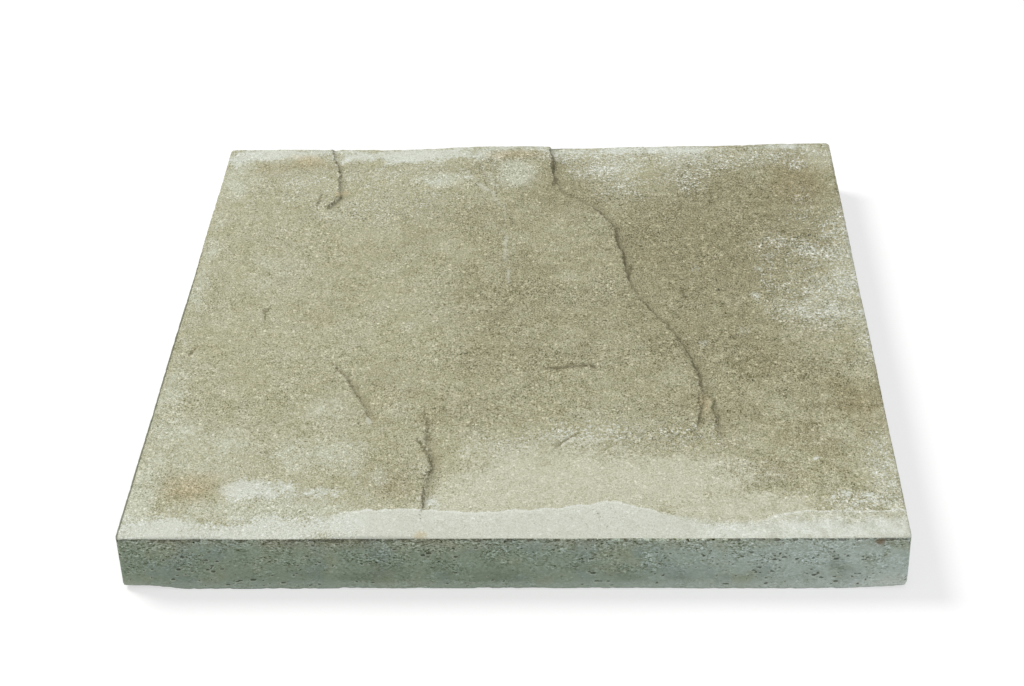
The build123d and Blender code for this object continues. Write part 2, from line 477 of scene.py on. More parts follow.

# %% Dirt and painted shade along the ledges
# Each place is x, y and width in millimetres, and the strength follows the chain. The
# lines are read where the rays were, so they stray together with the ledges.
dirt_and_shade_lines = (
    (((16, 222, 1.4), (17, 208, 2.6), (17, 198, 4.0), (20, 186, 2.4)), 0.90),
    (((20, 183, 1.8), (22, 176, 4.6), (20, 170, 3.0), (20, 165, 1.4)), 0.80),
    (((20, 165, 1.4), (30, 152, 1.4), (41, 143, 1.4)), 0.25),
    (((41, 143, 1.4), (48, 134, 1.8), (55, 125, 2.2), (62, 111, 2.8)), 0.72),
    (((63, 111, 3.4), (57, 109, 1.6)), 0.85),
    (((62, 107, 1.4), (65, 90, 1.8), (67, 82, 3.0), (68, 74, 2.4), (69, 60, 2.4)), 0.85),
    (((72, 60, 4.6), (72, 52, 6.0), (71, 42, 2.4)), 0.80),
    (((71, 40, 1.4), (75, 28, 1.6), (79, 19, 1.4)), 0.40),
    (((79, 19, 2.2), (85, 4, 1.8), (91, -6, 2.0), (96, -20, 2.2)), 0.85),
    (((97, -22, 1.2), (102, -29, 2.6), (104, -36, 1.8), (109, -52, 2.0)), 0.80),
    (((109, -52, 1.8), (112, -62, 3.0), (115, -74, 2.2), (115, -82, 2.0)), 0.75),
    (((114, -84, 1.8), (111, -95, 1.8), (112, -104, 2.0), (111, -116, 2.2)), 0.72),
    (((111, -116, 2.0), (107, -122, 1.6), (105, -128, 1.4)), 0.65),
    (((118, -86, 1.6), (122, -92, 2.0), (120, -104, 3.2), (122, -112, 1.8)), 0.70),
    (((122, -112, 1.4), (122, -122, 1.8), (122, -130, 1.6)), 0.50),
    (((-59, -98, 1.2), (-56, -112, 1.8), (-53, -124, 1.4), (-52, -135, 2.2)), 0.55),
    (
        ((-59, -133, 1.4), (-55, -142, 3.0), (-51, -152, 2.8), (-48, -161, 3.4), (-50, -168, 2.4)),
        0.75,
    ),
    (((-52, -168, 2.2), (-52, -184, 2.8), (-51, -198, 2.2)), 0.75),
    (((-52, -198, 2.0), (-52, -209, 2.0)), 0.46),
    (((46, -200, 1.2), (52, -211, 1.2), (60, -223, 1.2)), 0.42),
    (((-148, 224, 1.6), (-145, 211, 2.2), (-143, 204, 1.6), (-139, 190, 1.8)), 0.80),
    (((-139, 190, 1.8), (-137, 178, 2.2), (-137, 166, 1.6)), 0.65),
    (((-137, 163, 1.2), (-134, 160, 1.8), (-135, 155, 1.8), (-139, 154, 1.8)), 0.80),
    (((-139, 154, 1.8), (-139, 148, 2.0), (-142, 142, 1.6), (-143, 133, 2.2)), 0.75),
    (((-149, 156, 2.0), (-150, 144, 2.8)), 0.80),
    (((-141, -28, 1.2), (-128, -44, 1.4), (-116, -60, 1.8)), 0.40),
    (
        ((-116, -60, 1.6), (-108, -70, 2.0), (-103, -80, 1.6), (-97, -95, 1.8), (-90, -111, 1.8)),
        0.68,
    ),
    (((-168, 12, 1.8), (-170, 4, 2.6), (-168, -5, 1.4)), 0.70),
    (((-208, -35, 2.2), (-212, -45, 1.8)), 0.6),
    (((25, -140, 1.6), (31, -133, 2.4), (38, -127, 1.6)), 0.75),
    (((4, -56, 2.0), (8, -60, 3.0), (20, -61, 5.0), (34, -59, 7.0), (48, -61, 5.0)), 0.62),
    (((8, -60, 2.6), (12, -52, 1.6)), 0.7),
    (((-102, 36, 3.0), (-88, 40, 4.0)), 0.25),
    (((110, 145, 2.0), (109, 118, 2.0)), 0.66),
    (((131, 157, 2.2), (131, 138, 2.0)), 0.78),
    (((103, 43, 1.8), (105, 30, 2.8), (107, 20, 3.0)), 0.62),
)
foot_offset = 0.3 * mm  # from the lip of a ledge to its foot, where the dirt and painted shade lie


def drawn_lines(chains, fall_off, offset=0.0):
    """Strength of lines over the face. It fades away from the middle of each chain."""
    drawn = np.zeros_like(level)
    for chain, strength in chains:
        gap = gap_to_chain(read_at[:, :, 0] - offset, read_at[:, :, 1], chain)
        drawn = np.maximum(drawn, strength * np.exp(-fall_off * gap**2))
    return drawn


store_mask("ledge_dirt_and_shade", at_corners(drawn_lines(dirt_and_shade_lines, 4.5, foot_offset)))

# %% Pale scars
# Lines where the paste was scraped, given like the lines of dirt.
pale_scars = (
    (((-48, 192, 1.8), (-38, 176, 2.0), (-28, 158, 2.2), (-15, 136, 2.0)), 0.85),
    (((-28, 185, 2.0), (-24, 165, 2.0)), 0.60),
    (((-13, 94, 1.4), (-13, 70, 1.7), (-9, 48, 1.7), (-7, 32, 1.4)), 0.66),
    (((-15, 136, 1.6), (-13, 110, 1.4), (-13, 94, 1.4)), 0.50),
    (((-90, -112, 2.2), (-88, -116, 2.6)), 1.0),
    (((-100, -140, 2.0), (-98, -156, 2.6), (-92, -172, 3.2), (-86, -188, 3.2)), 0.66),
)
store_mask("pale_scar", at_corners(drawn_lines(pale_scars, 3.0)))

# %% Stains of the riven face
# Each stain has some ovals: x, y, half width and half depth in millimetres, and strength.
stains = {
    # Damp, and painted shade where the light falls off towards the right.
    "damp_and_falloff_shade": (
        (130, 80, 75, 85, 1.0), (92, 95, 40, 70, 0.95), (165, 120, 60, 80, 0.95),
        (70, 10, 70, 70, 0.60), (-5, 20, 55, 80, 0.60), (40, -40, 80, 60, 0.50),
        (130, -30, 70, 60, 0.78), (190, -85, 45, 50, 0.55), (120, -95, 60, 40, 0.55),
        (-60, 60, 60, 70, 0.22), (-30, 120, 70, 50, 0.50), (30, 150, 50, 50, 0.65),
        (-70, -66, 46, 40, 0.24), (-20, -100, 50, 30, 0.45), (140, 160, 60, 40, 0.82),
        (20, 190, 26, 26, 0.60), (-128, 30, 50, 60, 0.18), (-20, 190, 50, 24, 0.50),
        (35, 90, 50, 60, 0.38), (-212, 20, 12, 90, 0.15), (-70, -165, 20, 26, 0.40),
        (-18, -52, 36, 26, 0.56), (28, 0, 30, 26, 0.66), (-15, 208, 28, 10, 0.70),
        (88, -133, 36, 16, 0.52), (136, -163, 28, 16, 0.55),
    ),
    "pale_cloud": (
        (222, 113, 10, 18, 0.72), (211, 96, 9, 8, 0.62), (196, 76, 10, 8, 0.70),
        (214, 72, 12, 12, 0.70), (218, 38, 14, 28, 0.80), (202, 27, 14, 18, 0.68),
        (180, 3, 18, 14, 0.62), (205, 8, 20, 18, 0.60), (219, -8, 8, 18, 0.58),
        (222, -40, 6, 24, 0.50), (188, -22, 16, 14, 0.40), (186, 62, 30, 50, 0.30),
        (204, 112, 22, 40, 0.28), (206, 196, 22, 12, 0.40), (218, -158, 11, 25, 0.76),
        (66, 190, 32, 14, 0.66), (140, 204, 60, 14, 0.56), (80, 212, 70, 12, 0.74),
        (112, 180, 24, 26, 0.42), (60, -132, 60, 18, 0.42), (-10, -142, 30, 14, 0.47),
        (78, 172, 34, 22, 0.38), (-120, 160, 90, 50, 0.30), (190, -215, 50, 14, 0.50),
        (205, -215, 30, 10, 0.6), (214, 212, 14, 10, 0.6), (198, -192, 28, 9, 0.62),
    ),
    "pale_dust": (
        (-219, 60, 9, 170, 0.50), (-216, -120, 16, 90, 0.55), (-214, 175, 14, 50, 0.70),
        (-60, 176, 22, 13, 0.80), (-8, 186, 18, 22, 0.85), (-70, 205, 40, 12, 0.50),
        (-192, -146, 42, 36, 0.66), (-130, -200, 90, 16, 0.70), (-217, -185, 14, 44, 0.80),
        (-118, -148, 36, 26, 0.58), (-122, -100, 28, 22, 0.40), (-66, 2, 26, 26, 0.38),
        (214, -182, 12, 30, 0.45), (-168, 50, 34, 34, 0.40), (-80, -165, 6, 30, 0.42),
    ),
    "cream_zone": (
        (40, -176, 82, 32, 1.0), (90, -172, 54, 26, 0.85), (-12, -185, 36, 30, 0.95),
        (132, -200, 44, 18, 0.95), (186, -206, 50, 5, 0.55), (-20, -150, 14, 20, 0.55),
    ),
    "lime_bloom": (
        (-150, -181, 24, 9, 0.85), (-112, -184, 20, 5, 0.45), (-184, 216, 46, 10, 0.95),
        (-90, 214, 62, 10, 0.95), (-40, 221, 60, 4, 0.6), (-220, 208, 10, 20, 0.6),
        (190, 220, 40, 4, 0.6), (80, 219, 70, 6, 0.75), (-61, 174, 14, 7, 0.45),
        (-192, -221, 46, 13, 0.9), (-112, -216, 40, 12, 0.9), (-160, -223, 50, 10, 1.15),
        (224, 40, 3, 70, 0.6), (-150, 221, 90, 3, 0.7), (-47, -193, 5, 7, 0.5),
        (192, -186, 3, 2, 1.2), (205, -187, 3, 2, 1.2), (199, -193, 2, 2, 1.1),
        (184, -189, 2, 2, 1.0), (178, -153, 2, 2, 1.1), (172, -217, 66, 8, 0.62),
        (128, -218, 30, 8, 0.70), (148, 124, 5, 9, 0.46), (155, 20, 4, 5, 0.48),
        (159, 54, 4, 4, 0.45), (178, 52, 4, 4, 0.48), (144, -21, 6, 7, 0.46), (118, 55, 4, 5, 0.40),
        (155, 87, 4, 5, 0.42), (120, -34, 4, 6, 0.40),
    ),
    "brown_stain": (
        (196, 172, 30, 42, 0.75), (182, -140, 40, 44, 0.42), (206, -90, 20, 34, 0.5),
        (-190, -178, 27, 19, 0.60), (-118, -190, 14, 7, 0.60), (-70, -184, 18, 16, 0.50),
        (-190, 194, 34, 10, 0.45), (150, -60, 40, 60, 0.16), (172, -185, 24, 12, 0.35),
        (-76, -108, 30, 26, 0.32), (-170, 198, 50, 8, 0.55), (130, -136, 26, 18, 0.34),
        (206, 137, 11, 15, 0.60), (192, 103, 12, 6, 0.60), (206, 84, 8, 4, 0.65),
        (198, 52, 12, 4, 0.65), (208, -50, 14, 20, 0.42), (172, 82, 14, 10, 0.40),
    ),
    "tan_spot": (
        (-164, 208, 13, 10, 0.9), (-176, 212, 9, 7, 0.7), (-133, 162, 4, 3, 1.3),
        (-137, 158, 3, 4, 1.0), (116, -95, 4, 11, 0.8), (-190, -178, 24, 16, 0.55),
        (186, -26, 14, 14, 0.45), (-128, 60, 60, 70, 0.20), (-51, -222, 4, 5, 0.9),
        (-10, 212, 22, 7, 0.6), (12, 176, 8, 10, 0.4),
    ),
}


def soft_ovals(across, up, ovals, least=0.0):
    """Strength at every corner, strongest in the middle of each oval."""
    total = np.full(len(corners), least)
    for x, y, half_width, half_height, strength in ovals:
        reach = np.hypot((across / mm - x) / half_width, (up / mm - y) / half_height)
        total = np.maximum(total, strength * np.exp(-0.8 * reach**2.4))
    return total


for name, ovals in stains.items():
    store_mask(name, soft_ovals(corners[:, 0], corners[:, 1], ovals) * on_face)

# %% Where the cast sides are pitted
# Place along a side and height, half width and half height in millimetres, and strength.
pitted_spots = (
    (-150, 20, 34, 22, 1.0), (-205, 16, 18, 18, 0.6), (160, 18, 46, 24, 1.0),
    (115, 22, 20, 14, 0.8), (40, 12, 60, 12, 0.35), (-60, 28, 50, 10, 0.5),
    (0, 31, 200, 5, 0.6), (205, 16, 16, 16, 0.9),
)
along = np.where(
    np.abs(corners[:, 1]) > np.abs(corners[:, 0]),
    -np.sign(corners[:, 1]) * corners[:, 0],
    np.sign(corners[:, 0]) * corners[:, 1],
)
pitted = soft_ovals(along, corners[:, 2], pitted_spots, least=0.16)
store_mask("pitted", pitted * (1 - on_face))

# %% [markdown]
# ## Air pockets in the cast sides
# Bubbles of air are trapped against the mould and leave small flat pockets in the sides.
# There are hundreds, each a little different, so Geometry Nodes scatters them: it drops
# points on the sides, gives each a radius, and pushes in the corners that lie within
# that radius of their nearest point. The same tree hands out the two finishes.

# %% Helpers for node trees


def add_node(tree, kind, inputs=None, **settings):
    """Adds a node. An input that is given a socket is linked, any other value is set."""
    made = tree.nodes.new(kind)
    for name, value in settings.items():
        setattr(made, name, value)
    for key, value in (inputs or {}).items():
        if isinstance(value, bpy.types.NodeSocket):
            tree.links.new(value, made.inputs[key])
        else:
            made.inputs[key].default_value = value
    return made


def calculate(tree, operation, *values, clamp=False):
    """The output of a math node on sockets and plain numbers."""
    kind = "ShaderNodeMath"
    made = add_node(tree, kind, dict(enumerate(values)), operation=operation, use_clamp=clamp)
    return made.outputs[0]


def times(tree, product, *factors):
    """The product of all values."""
    for factor in factors:
        product = calculate(tree, "MULTIPLY", product, factor)
    return product


def added(tree, base, *parts):
    """The base plus each part, which is a value and its factor."""
    for value, factor in parts:
        base = calculate(tree, "MULTIPLY_ADD", value, factor, base)
    return base


def on_vectors(tree, operation, *values):
    """The vector output of a vector math node; DISTANCE and LENGTH give their number."""
    made = add_node(tree, "ShaderNodeVectorMath", dict(enumerate(values)), operation=operation)
    return made.outputs["Value" if operation in ("DISTANCE", "LENGTH") else "Vector"]


def smooth_step(tree, value, low, high):
    """0 below low, 1 above high, smooth between; with low above high it runs the other way."""
    made = add_node(
        tree, "ShaderNodeMapRange",
        {"Value": value, "From Min": low, "From Max": high, "To Min": 0.0, "To Max": 1.0},
        interpolation_type="SMOOTHSTEP",
    )
    return made.outputs["Result"]


def new_tree(name, kind, inputs, outputs):
    """A node group with named sockets. Returns it, its inputs by name and its end node."""
    tree = bpy.data.node_groups.new(name, kind)
    for in_out, sockets in (("INPUT", inputs), ("OUTPUT", outputs)):
        for title, (socket_kind, value) in sockets.items():
            socket = tree.interface.new_socket(
                name=title, in_out=in_out, socket_type="NodeSocket" + socket_kind
            )
            if value is not None and in_out == "INPUT":
                socket.default_value = value
    start = tree.nodes.new("NodeGroupInput")
    end = tree.nodes.new("NodeGroupOutput")
    return tree, {s.name: s for s in start.outputs if s.name}, end


# %% A tree with named inputs
riven_finish = bpy.data.materials.new("riven_face")
cast_finish = bpy.data.materials.new("cast_sides")

pockets, given, end = new_tree(
    "air_pockets", "GeometryNodeTree",
    {
        "Geometry": ("Geometry", None),
        "Pockets per Square Metre": ("Float", 130000.0),
        "Least Gap": ("Float", 1.8 * mm),
        "Smallest Radius": ("Float", 0.8 * mm),
        "Largest Radius": ("Float", 2.1 * mm),
        "Depth per Radius": ("Float", 0.60),
        "Flatness": ("Float", 2.0),
        "Seed": ("Int", 7),
        "Riven Finish": ("Material", None),
        "Cast Finish": ("Material", None),
    },
    {"Geometry": ("Geometry", None)},
)
print("inputs of the pockets:", *given)

# %% Points where the pockets lie


def read_number(tree, name):
    """A stored number of the geometry."""
    kind = "GeometryNodeInputNamedAttribute"
    return add_node(tree, kind, {"Name": name}, data_type="FLOAT").outputs["Attribute"]


position = add_node(pockets, "GeometryNodeInputPosition").outputs["Position"]
is_cast = read_number(pockets, "cast_part")
patchy = add_node(
    pockets, "ShaderNodeTexNoise", {"Vector": position, "Scale": 38.0, "Detail": 1.0}
).outputs[0]
likely = calculate(
    pockets, "MULTIPLY", read_number(pockets, "pitted"),
    smooth_step(pockets, patchy, 0.40, 0.62), clamp=True,
)
scattered = add_node(
    pockets, "GeometryNodeDistributePointsOnFaces",
    {
        "Mesh": given["Geometry"],
        "Selection": calculate(pockets, "GREATER_THAN", is_cast, 0.5),
        "Distance Min": given["Least Gap"],
        "Density Max": given["Pockets per Square Metre"],
        "Density Factor": likely,
        "Seed": given["Seed"],
    },
    distribute_method="POISSON",
).outputs["Points"]

# Most pockets are small: the chance is raised to a power before it becomes a radius.
chance = add_node(
    pockets, "FunctionNodeRandomValue", {"Seed": given["Seed"]}, data_type="FLOAT"
).outputs[1]
radius_range = calculate(
    pockets, "SUBTRACT", given["Largest Radius"], given["Smallest Radius"]
)
extra_radius = times(pockets, calculate(pockets, "POWER", chance, 2.6), radius_range)
sized = add_node(
    pockets, "GeometryNodeStoreNamedAttribute",
    {
        "Geometry": scattered,
        "Name": "pocket_radius",
        "Value": calculate(pockets, "ADD", given["Smallest Radius"], extra_radius),
    },
    data_type="FLOAT", domain="POINT",
).outputs["Geometry"]

# Pockets are wider than high. Distances are measured in a space that is stretched
# upwards, where they are round.
stretch = add_node(
    pockets, "ShaderNodeCombineXYZ", {"X": 1.0, "Y": 1.0, "Z": given["Flatness"]}
).outputs["Vector"]
stretched = on_vectors(pockets, "MULTIPLY", position, stretch)
centres = add_node(
    pockets, "GeometryNodeSetPosition", {"Geometry": sized, "Position": stretched}
).outputs["Geometry"]
print("nodes up to the points:", len(pockets.nodes))

# %% Pushing the pockets in
# The place from which each corner looks for its pocket is shaken, which makes the
# outlines of the pockets uneven.
shake = add_node(
    pockets, "ShaderNodeTexNoise", {"Vector": position, "Scale": 420.0, "Detail": 1.0}
).outputs["Color"]
centred_shake = on_vectors(pockets, "SUBTRACT", shake, (0.5, 0.5, 0.5))
shake_reach = (2.4 * mm, 2.4 * mm, 2.4 * mm)
shaken = on_vectors(
    pockets, "ADD", stretched, on_vectors(pockets, "MULTIPLY", centred_shake, shake_reach)
)
nearest = add_node(
    pockets, "GeometryNodeSampleNearest", {"Geometry": centres, "Sample Position": shaken},
    domain="POINT",
).outputs["Index"]


def of_nearest(value, data_type):
    """A value of the pocket that is nearest to a corner."""
    return add_node(
        pockets, "GeometryNodeSampleIndex",
        {"Geometry": centres, "Value": value, "Index": nearest},
        data_type=data_type, domain="POINT",
    ).outputs[0]


radius = of_nearest(read_number(pockets, "pocket_radius"), "FLOAT")
gap = on_vectors(pockets, "DISTANCE", shaken, of_nearest(position, "FLOAT_VECTOR"))
inside = smooth_step(pockets, calculate(pockets, "DIVIDE", gap, radius), 1.15, 0.45)
inside = times(pockets, inside, is_cast)
push = times(pockets, inside, times(pockets, radius, given["Depth per Radius"]))
normal = add_node(pockets, "GeometryNodeInputNormal").outputs["Normal"]
inwards = add_node(
    pockets, "ShaderNodeVectorMath", {0: normal, "Scale": times(pockets, push, -1.0)},
    operation="SCALE",
).outputs["Vector"]
stored = add_node(
    pockets, "GeometryNodeStoreNamedAttribute",
    {"Geometry": given["Geometry"], "Name": "pocket", "Value": inside},
    data_type="FLOAT", domain="POINT",
).outputs["Geometry"]
pushed = add_node(
    pockets, "GeometryNodeSetPosition", {"Geometry": stored, "Offset": inwards}
).outputs["Geometry"]
whole = add_node(pockets, "GeometryNodeRealizeInstances", {"Geometry": pushed}).outputs[0]
cast_faces = calculate(pockets, "GREATER_THAN", read_number(pockets, "cast_cell"), 0.5)
all_riven = add_node(
    pockets, "GeometryNodeSetMaterial", {"Geometry": whole, "Material": given["Riven Finish"]}
).outputs[0]
finished = add_node(
    pockets, "GeometryNodeSetMaterial",
    {"Geometry": all_riven, "Selection": cast_faces, "Material": given["Cast Finish"]},
).outputs[0]
pockets.links.new(finished, end.inputs["Geometry"])
print("nodes of the whole tree:", len(pockets.nodes))

# %% Running the tree
cast_part = step_between(1.2 * mm, 3 * mm, mean_level - corners[:, 2])
cast_part = cast_part * step_between(1.0 * mm, 3 * mm, corners[:, 2])
side_gaps = half_side - np.abs(corners[:, :2]).max(axis=1)
store_mask("cast_part", cast_part * (side_gaps < 4 * mm))
cast_cells = skin_mesh.attributes.new("cast_cell", "FLOAT", "FACE")
cast_cells.data.foreach_set("value", [float(side != "riven") for side, *_ in cells])

rough_slab = bpy.data.objects.new("slab_before_pockets", skin_mesh)
bpy.context.scene.collection.objects.link(rough_slab)
maker = rough_slab.modifiers.new("air_pockets", "NODES")
maker.node_group = pockets
for socket in pockets.interface.items_tree:
    if socket.in_out == "INPUT" and socket.socket_type == "NodeSocketMaterial":
        finish = riven_finish if socket.name == "Riven Finish" else cast_finish
        maker[socket.identifier] = finish

result = rough_slab.evaluated_get(bpy.context.evaluated_depsgraph_get())
slab_mesh = bpy.data.meshes.new_from_object(result)
slab_mesh.name = "paving_slab_skin"
bpy.data.objects.remove(rough_slab)
slab = bpy.data.objects.new("paving_slab_skin", slab_mesh)
bpy.context.scene.collection.objects.link(slab)
depths = np.zeros(len(slab_mesh.vertices), np.float32)
slab_mesh.attributes["pocket"].data.foreach_get("value", depths)
print("pockets take up", round(float((depths > 0.5).mean()) * 100, 2), "percent of the corners")
print("finishes", [m.name for m in slab_mesh.materials])

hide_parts("paving_slab")
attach(slab, "root")

# %% [markdown]
# ## Effects that are used again
# The riven face and the cast sides are the same concrete, sand grains in cement paste, and
# every stain of the face breaks up over the grains at its edge. Each effect is a node
# group with its own sizes, so it can be used again with other values.

# %% Sand grains
sand, given, end = new_tree(
    "sand_grains", "ShaderNodeTree",
    {
        "Place": ("Vector", None),
        "Grains per Metre": ("Float", 900.0),
        "Share of Pale Grains": ("Float", 0.2),
        "Share of Dark Grains": ("Float", 0.15),
    },
    {"Pale": ("Float", None), "Dark": ("Float", None), "Height": ("Float", None)},
)
blurry = add_node(
    sand, "ShaderNodeTexNoise", {"Vector": given["Place"], "Scale": 600.0, "Detail": 1.0}
).outputs["Color"]
wobble = on_vectors(
    sand, "MULTIPLY", on_vectors(sand, "SUBTRACT", blurry, (0.5, 0.5, 0.5)),
    (1.6 * mm, 1.6 * mm, 1.6 * mm),
)
grain_cells = add_node(
    sand, "ShaderNodeTexVoronoi",
    {
        "Vector": on_vectors(sand, "ADD", given["Place"], wobble),
        "Scale": given["Grains per Metre"], "Randomness": 1.0,
    },
)
dome = smooth_step(sand, grain_cells.outputs["Distance"], 0.62, 0.15)
lot = add_node(
    sand, "ShaderNodeSeparateColor", {"Color": grain_cells.outputs["Color"]}
).outputs
is_pale = calculate(sand, "LESS_THAN", lot["Red"], given["Share of Pale Grains"])
is_dark = calculate(sand, "LESS_THAN", lot["Green"], given["Share of Dark Grains"])
height = times(sand, dome, added(sand, 0.2, (lot["Blue"], 0.8)))
sand.links.new(times(sand, is_pale, dome), end.inputs["Pale"])
sand.links.new(times(sand, is_dark, dome), end.inputs["Dark"])
sand.links.new(height, end.inputs["Height"])
print("sand_grains has", len(sand.nodes), "nodes")

# %% Ragged edges


def noise_value(tree, place, size, detail=2.0, roughness=0.5, seed=0.0):
    """Noise from 0 to 1 with bumps of that size in metres."""
    moved = on_vectors(tree, "ADD", place, (seed * 0.37, seed * 0.61, seed * 0.13))
    made = add_node(
        tree, "ShaderNodeTexNoise",
        {"Vector": moved, "Scale": 1.0 / size, "Detail": detail, "Roughness": roughness},
    )
    return made.outputs[0]


def centred_noise(tree, place, size, detail=2.0, roughness=0.5, seed=0.0):
    """The same noise, from -0.5 to 0.5."""
    plain = noise_value(tree, place, size, detail, roughness, seed)
    return calculate(tree, "SUBTRACT", plain, 0.5)


ragged, given, end = new_tree(
    "ragged_edge", "ShaderNodeTree",
    {
        "Mask": ("Float", 0.0),
        "Place": ("Vector", None),
        "Raggedness": ("Float", 2.0),
        "Grain Raggedness": ("Float", 1.0),
        "Low": ("Float", 0.2),
        "High": ("Float", 0.8),
    },
    {"Mask": ("Float", None)},
)
near_stain = added(ragged, 0.55, (smooth_step(ragged, given["Mask"], 0.0, 0.25), 0.45))
moved = given["Mask"]
for size, octaves, amount in ((24 * mm, 5.0, "Raggedness"), (2 * mm, 2.0, "Grain Raggedness")):
    bumps = centred_noise(ragged, given["Place"], size, detail=octaves, roughness=0.68)
    moved = calculate(ragged, "ADD", moved, times(ragged, bumps, given[amount], near_stain))
ragged.links.new(
    smooth_step(ragged, moved, given["Low"], given["High"]), end.inputs["Mask"]
)
print("ragged_edge has", len(ragged.nodes), "nodes")

# %% [markdown]
# ## The riven finish
# The face is a tan cement paste. Damp, and painted shade where the light falls off, darken it
# to olive right of the middle, and lime has bloomed pale along the edges. The stored stains are
# laid over it one by one, each with a ragged edge. Along the front the mould was greased more,
# which left a smooth pale band. Then come the grains of sand, and at last dirt and painted shade in
# creases.

# %% Colours and masks in a finish


def tone(red, green, blue):
    """A colour as read off a screen, from 0 to 255, turned into linear light."""
    return tuple(
        (c / 255 / 12.92 if c < 11 else ((c / 255 + 0.055) / 1.055) ** 2.4)
        for c in (red, green, blue)
    ) + (1.0,)


def mixed(tree, share, one, other, blend="MIX"):
    """A mix of two colours, by a share from 0 to 1."""
    made = add_node(
        tree, "ShaderNodeMix", {0: share, 6: one, 7: other},
        data_type="RGBA", blend_type=blend, clamp_factor=True,
    )
    return made.outputs[2]


def painted(tree, colour, mask, strength, paint):
    """The colour with a paint laid over it where the mask is, up to that strength."""
    return mixed(tree, times(tree, mask, strength), colour, paint)


def stored_mask(tree, name):
    """A mask that the mesh carries."""
    return add_node(tree, "ShaderNodeAttribute", attribute_name=name).outputs["Fac"]


def use_group(tree, group, **values):
    """Places a node group. Keywords are its inputs, with underscores for spaces."""
    made = add_node(tree, "ShaderNodeGroup", node_tree=group)
    for name, value in values.items():
        socket = made.inputs[name.replace("_", " ")]
        if isinstance(value, bpy.types.NodeSocket):
            tree.links.new(value, socket)
        else:
            socket.default_value = value
    return made.outputs


def start_finish(material, roughness):
    """An empty finish with its Principled shader and the object's own coordinates."""
    material.use_nodes = True
    tree = material.node_tree
    tree.nodes.clear()
    shader = add_node(tree, "ShaderNodeBsdfPrincipled", {"Roughness": roughness})
    add_node(tree, "ShaderNodeOutputMaterial", {"Surface": shader.outputs["BSDF"]})
    place = add_node(tree, "ShaderNodeTexCoord").outputs["Object"]
    return tree, shader, place


# %% Paste and stains
face, face_shader, place = start_finish(riven_finish, roughness=0.88)
colour = tone(180, 178, 151)
mottle = smooth_step(face, noise_value(face, place, 18 * mm, 4.0, 0.6, seed=2), 0.35, 0.68)
colour = mixed(face, mottle, colour, tone(172, 169, 138))

# Mask, paint and strength, then the raggedness, the raggedness over the grains, and the
# values of the ragged mask where the stain starts and where it is full.
stain_paints = (
    # Damp, with painted shade where the light falls off towards the right.
    ("damp_and_falloff_shade", tone(150, 145, 113), 0.92, (1.05, 0.6, -0.05, 0.95)),
    ("brown_stain", tone(150, 141, 106), 0.85, (1.8, 1.4, 0.22, 0.82)),
    ("pale_dust", tone(200, 202, 183), 0.80, (1.4, 1.3, 0.22, 0.85)),
    ("pale_cloud", tone(208, 210, 197), 0.86, (2.0, 3.2, 0.28, 0.88)),
    ("cream_zone", tone(197, 196, 174), 0.92, (1.4, 1.4, 0.25, 0.75)),
    ("lime_bloom", tone(212, 216, 205), 0.85, (1.9, 1.3, 0.22, 0.78)),
)


def ragged_zone(name, raggedness, grain_raggedness, low, high):
    """A mask of the face whose edge breaks up."""
    return use_group(
        face, ragged, Mask=stored_mask(face, name), Place=place, Raggedness=raggedness,
        Grain_Raggedness=grain_raggedness, Low=low, High=high,
    )["Mask"]


zones = {}
for name, paint, amount, edge in stain_paints:
    zones[name] = ragged_zone(name, *edge)
    colour = painted(face, colour, zones[name], amount, paint)
print("stains laid over the paste:", *zones)

# %% The line of the front band
# How far back the pale band reaches, in millimetres from the middle, from left to right.
band_edge = (
    (-225, -231), (-125, -228), (-114, -211), (-102, -204), (-77, -200), (-55, -200),
    (-30, -202), (17, -200), (36, -197), (48, -194.5), (58, -192.5), (67, -195),
    (80, -200), (95, -204.5), (111, -209), (126, -212), (139, -211), (151, -204.5),
    (167, -201), (189, -201), (225, -201),
)
band_left, band_right = band_edge[0][0], band_edge[-1][0]
band_low, band_high = -235.0, -185.0
band_range = band_high - band_low

axes = add_node(face, "ShaderNodeSeparateXYZ", {"Vector": place}).outputs
from_left = added(face, 0.5, (axes["X"], 1 / (2 * half_side)))
curve = add_node(face, "ShaderNodeFloatCurve", {"Value": from_left})
points = curve.mapping.curves[0].points
shares = [
    ((x - band_left) / (band_right - band_left), (y - band_low) / band_range)
    for x, y in band_edge
]
points[0].location, points[-1].location = shares[0], shares[-1]
for share in shares[1:-1]:
    points.new(*share)
curve.mapping.update()
tremble = centred_noise(face, place, 9 * mm, 4.0, 0.6, seed=3)
edge_y = added(
    face, band_low * mm, (curve.outputs["Value"], band_range * mm), (tremble, 7 * mm)
)
behind = calculate(face, "SUBTRACT", axes["Y"], edge_y)
print("edge of the band:", len(points), "points")

# %% The pale front band
# On the right the edge is blurred for a stretch. The far ends fade away over the sand.


def within(tree, value, rise, fall):
    """1 between two soft ends. Each end says where it is nothing and where it is full."""
    return times(tree, smooth_step(tree, value, *rise), smooth_step(tree, value, *fall))


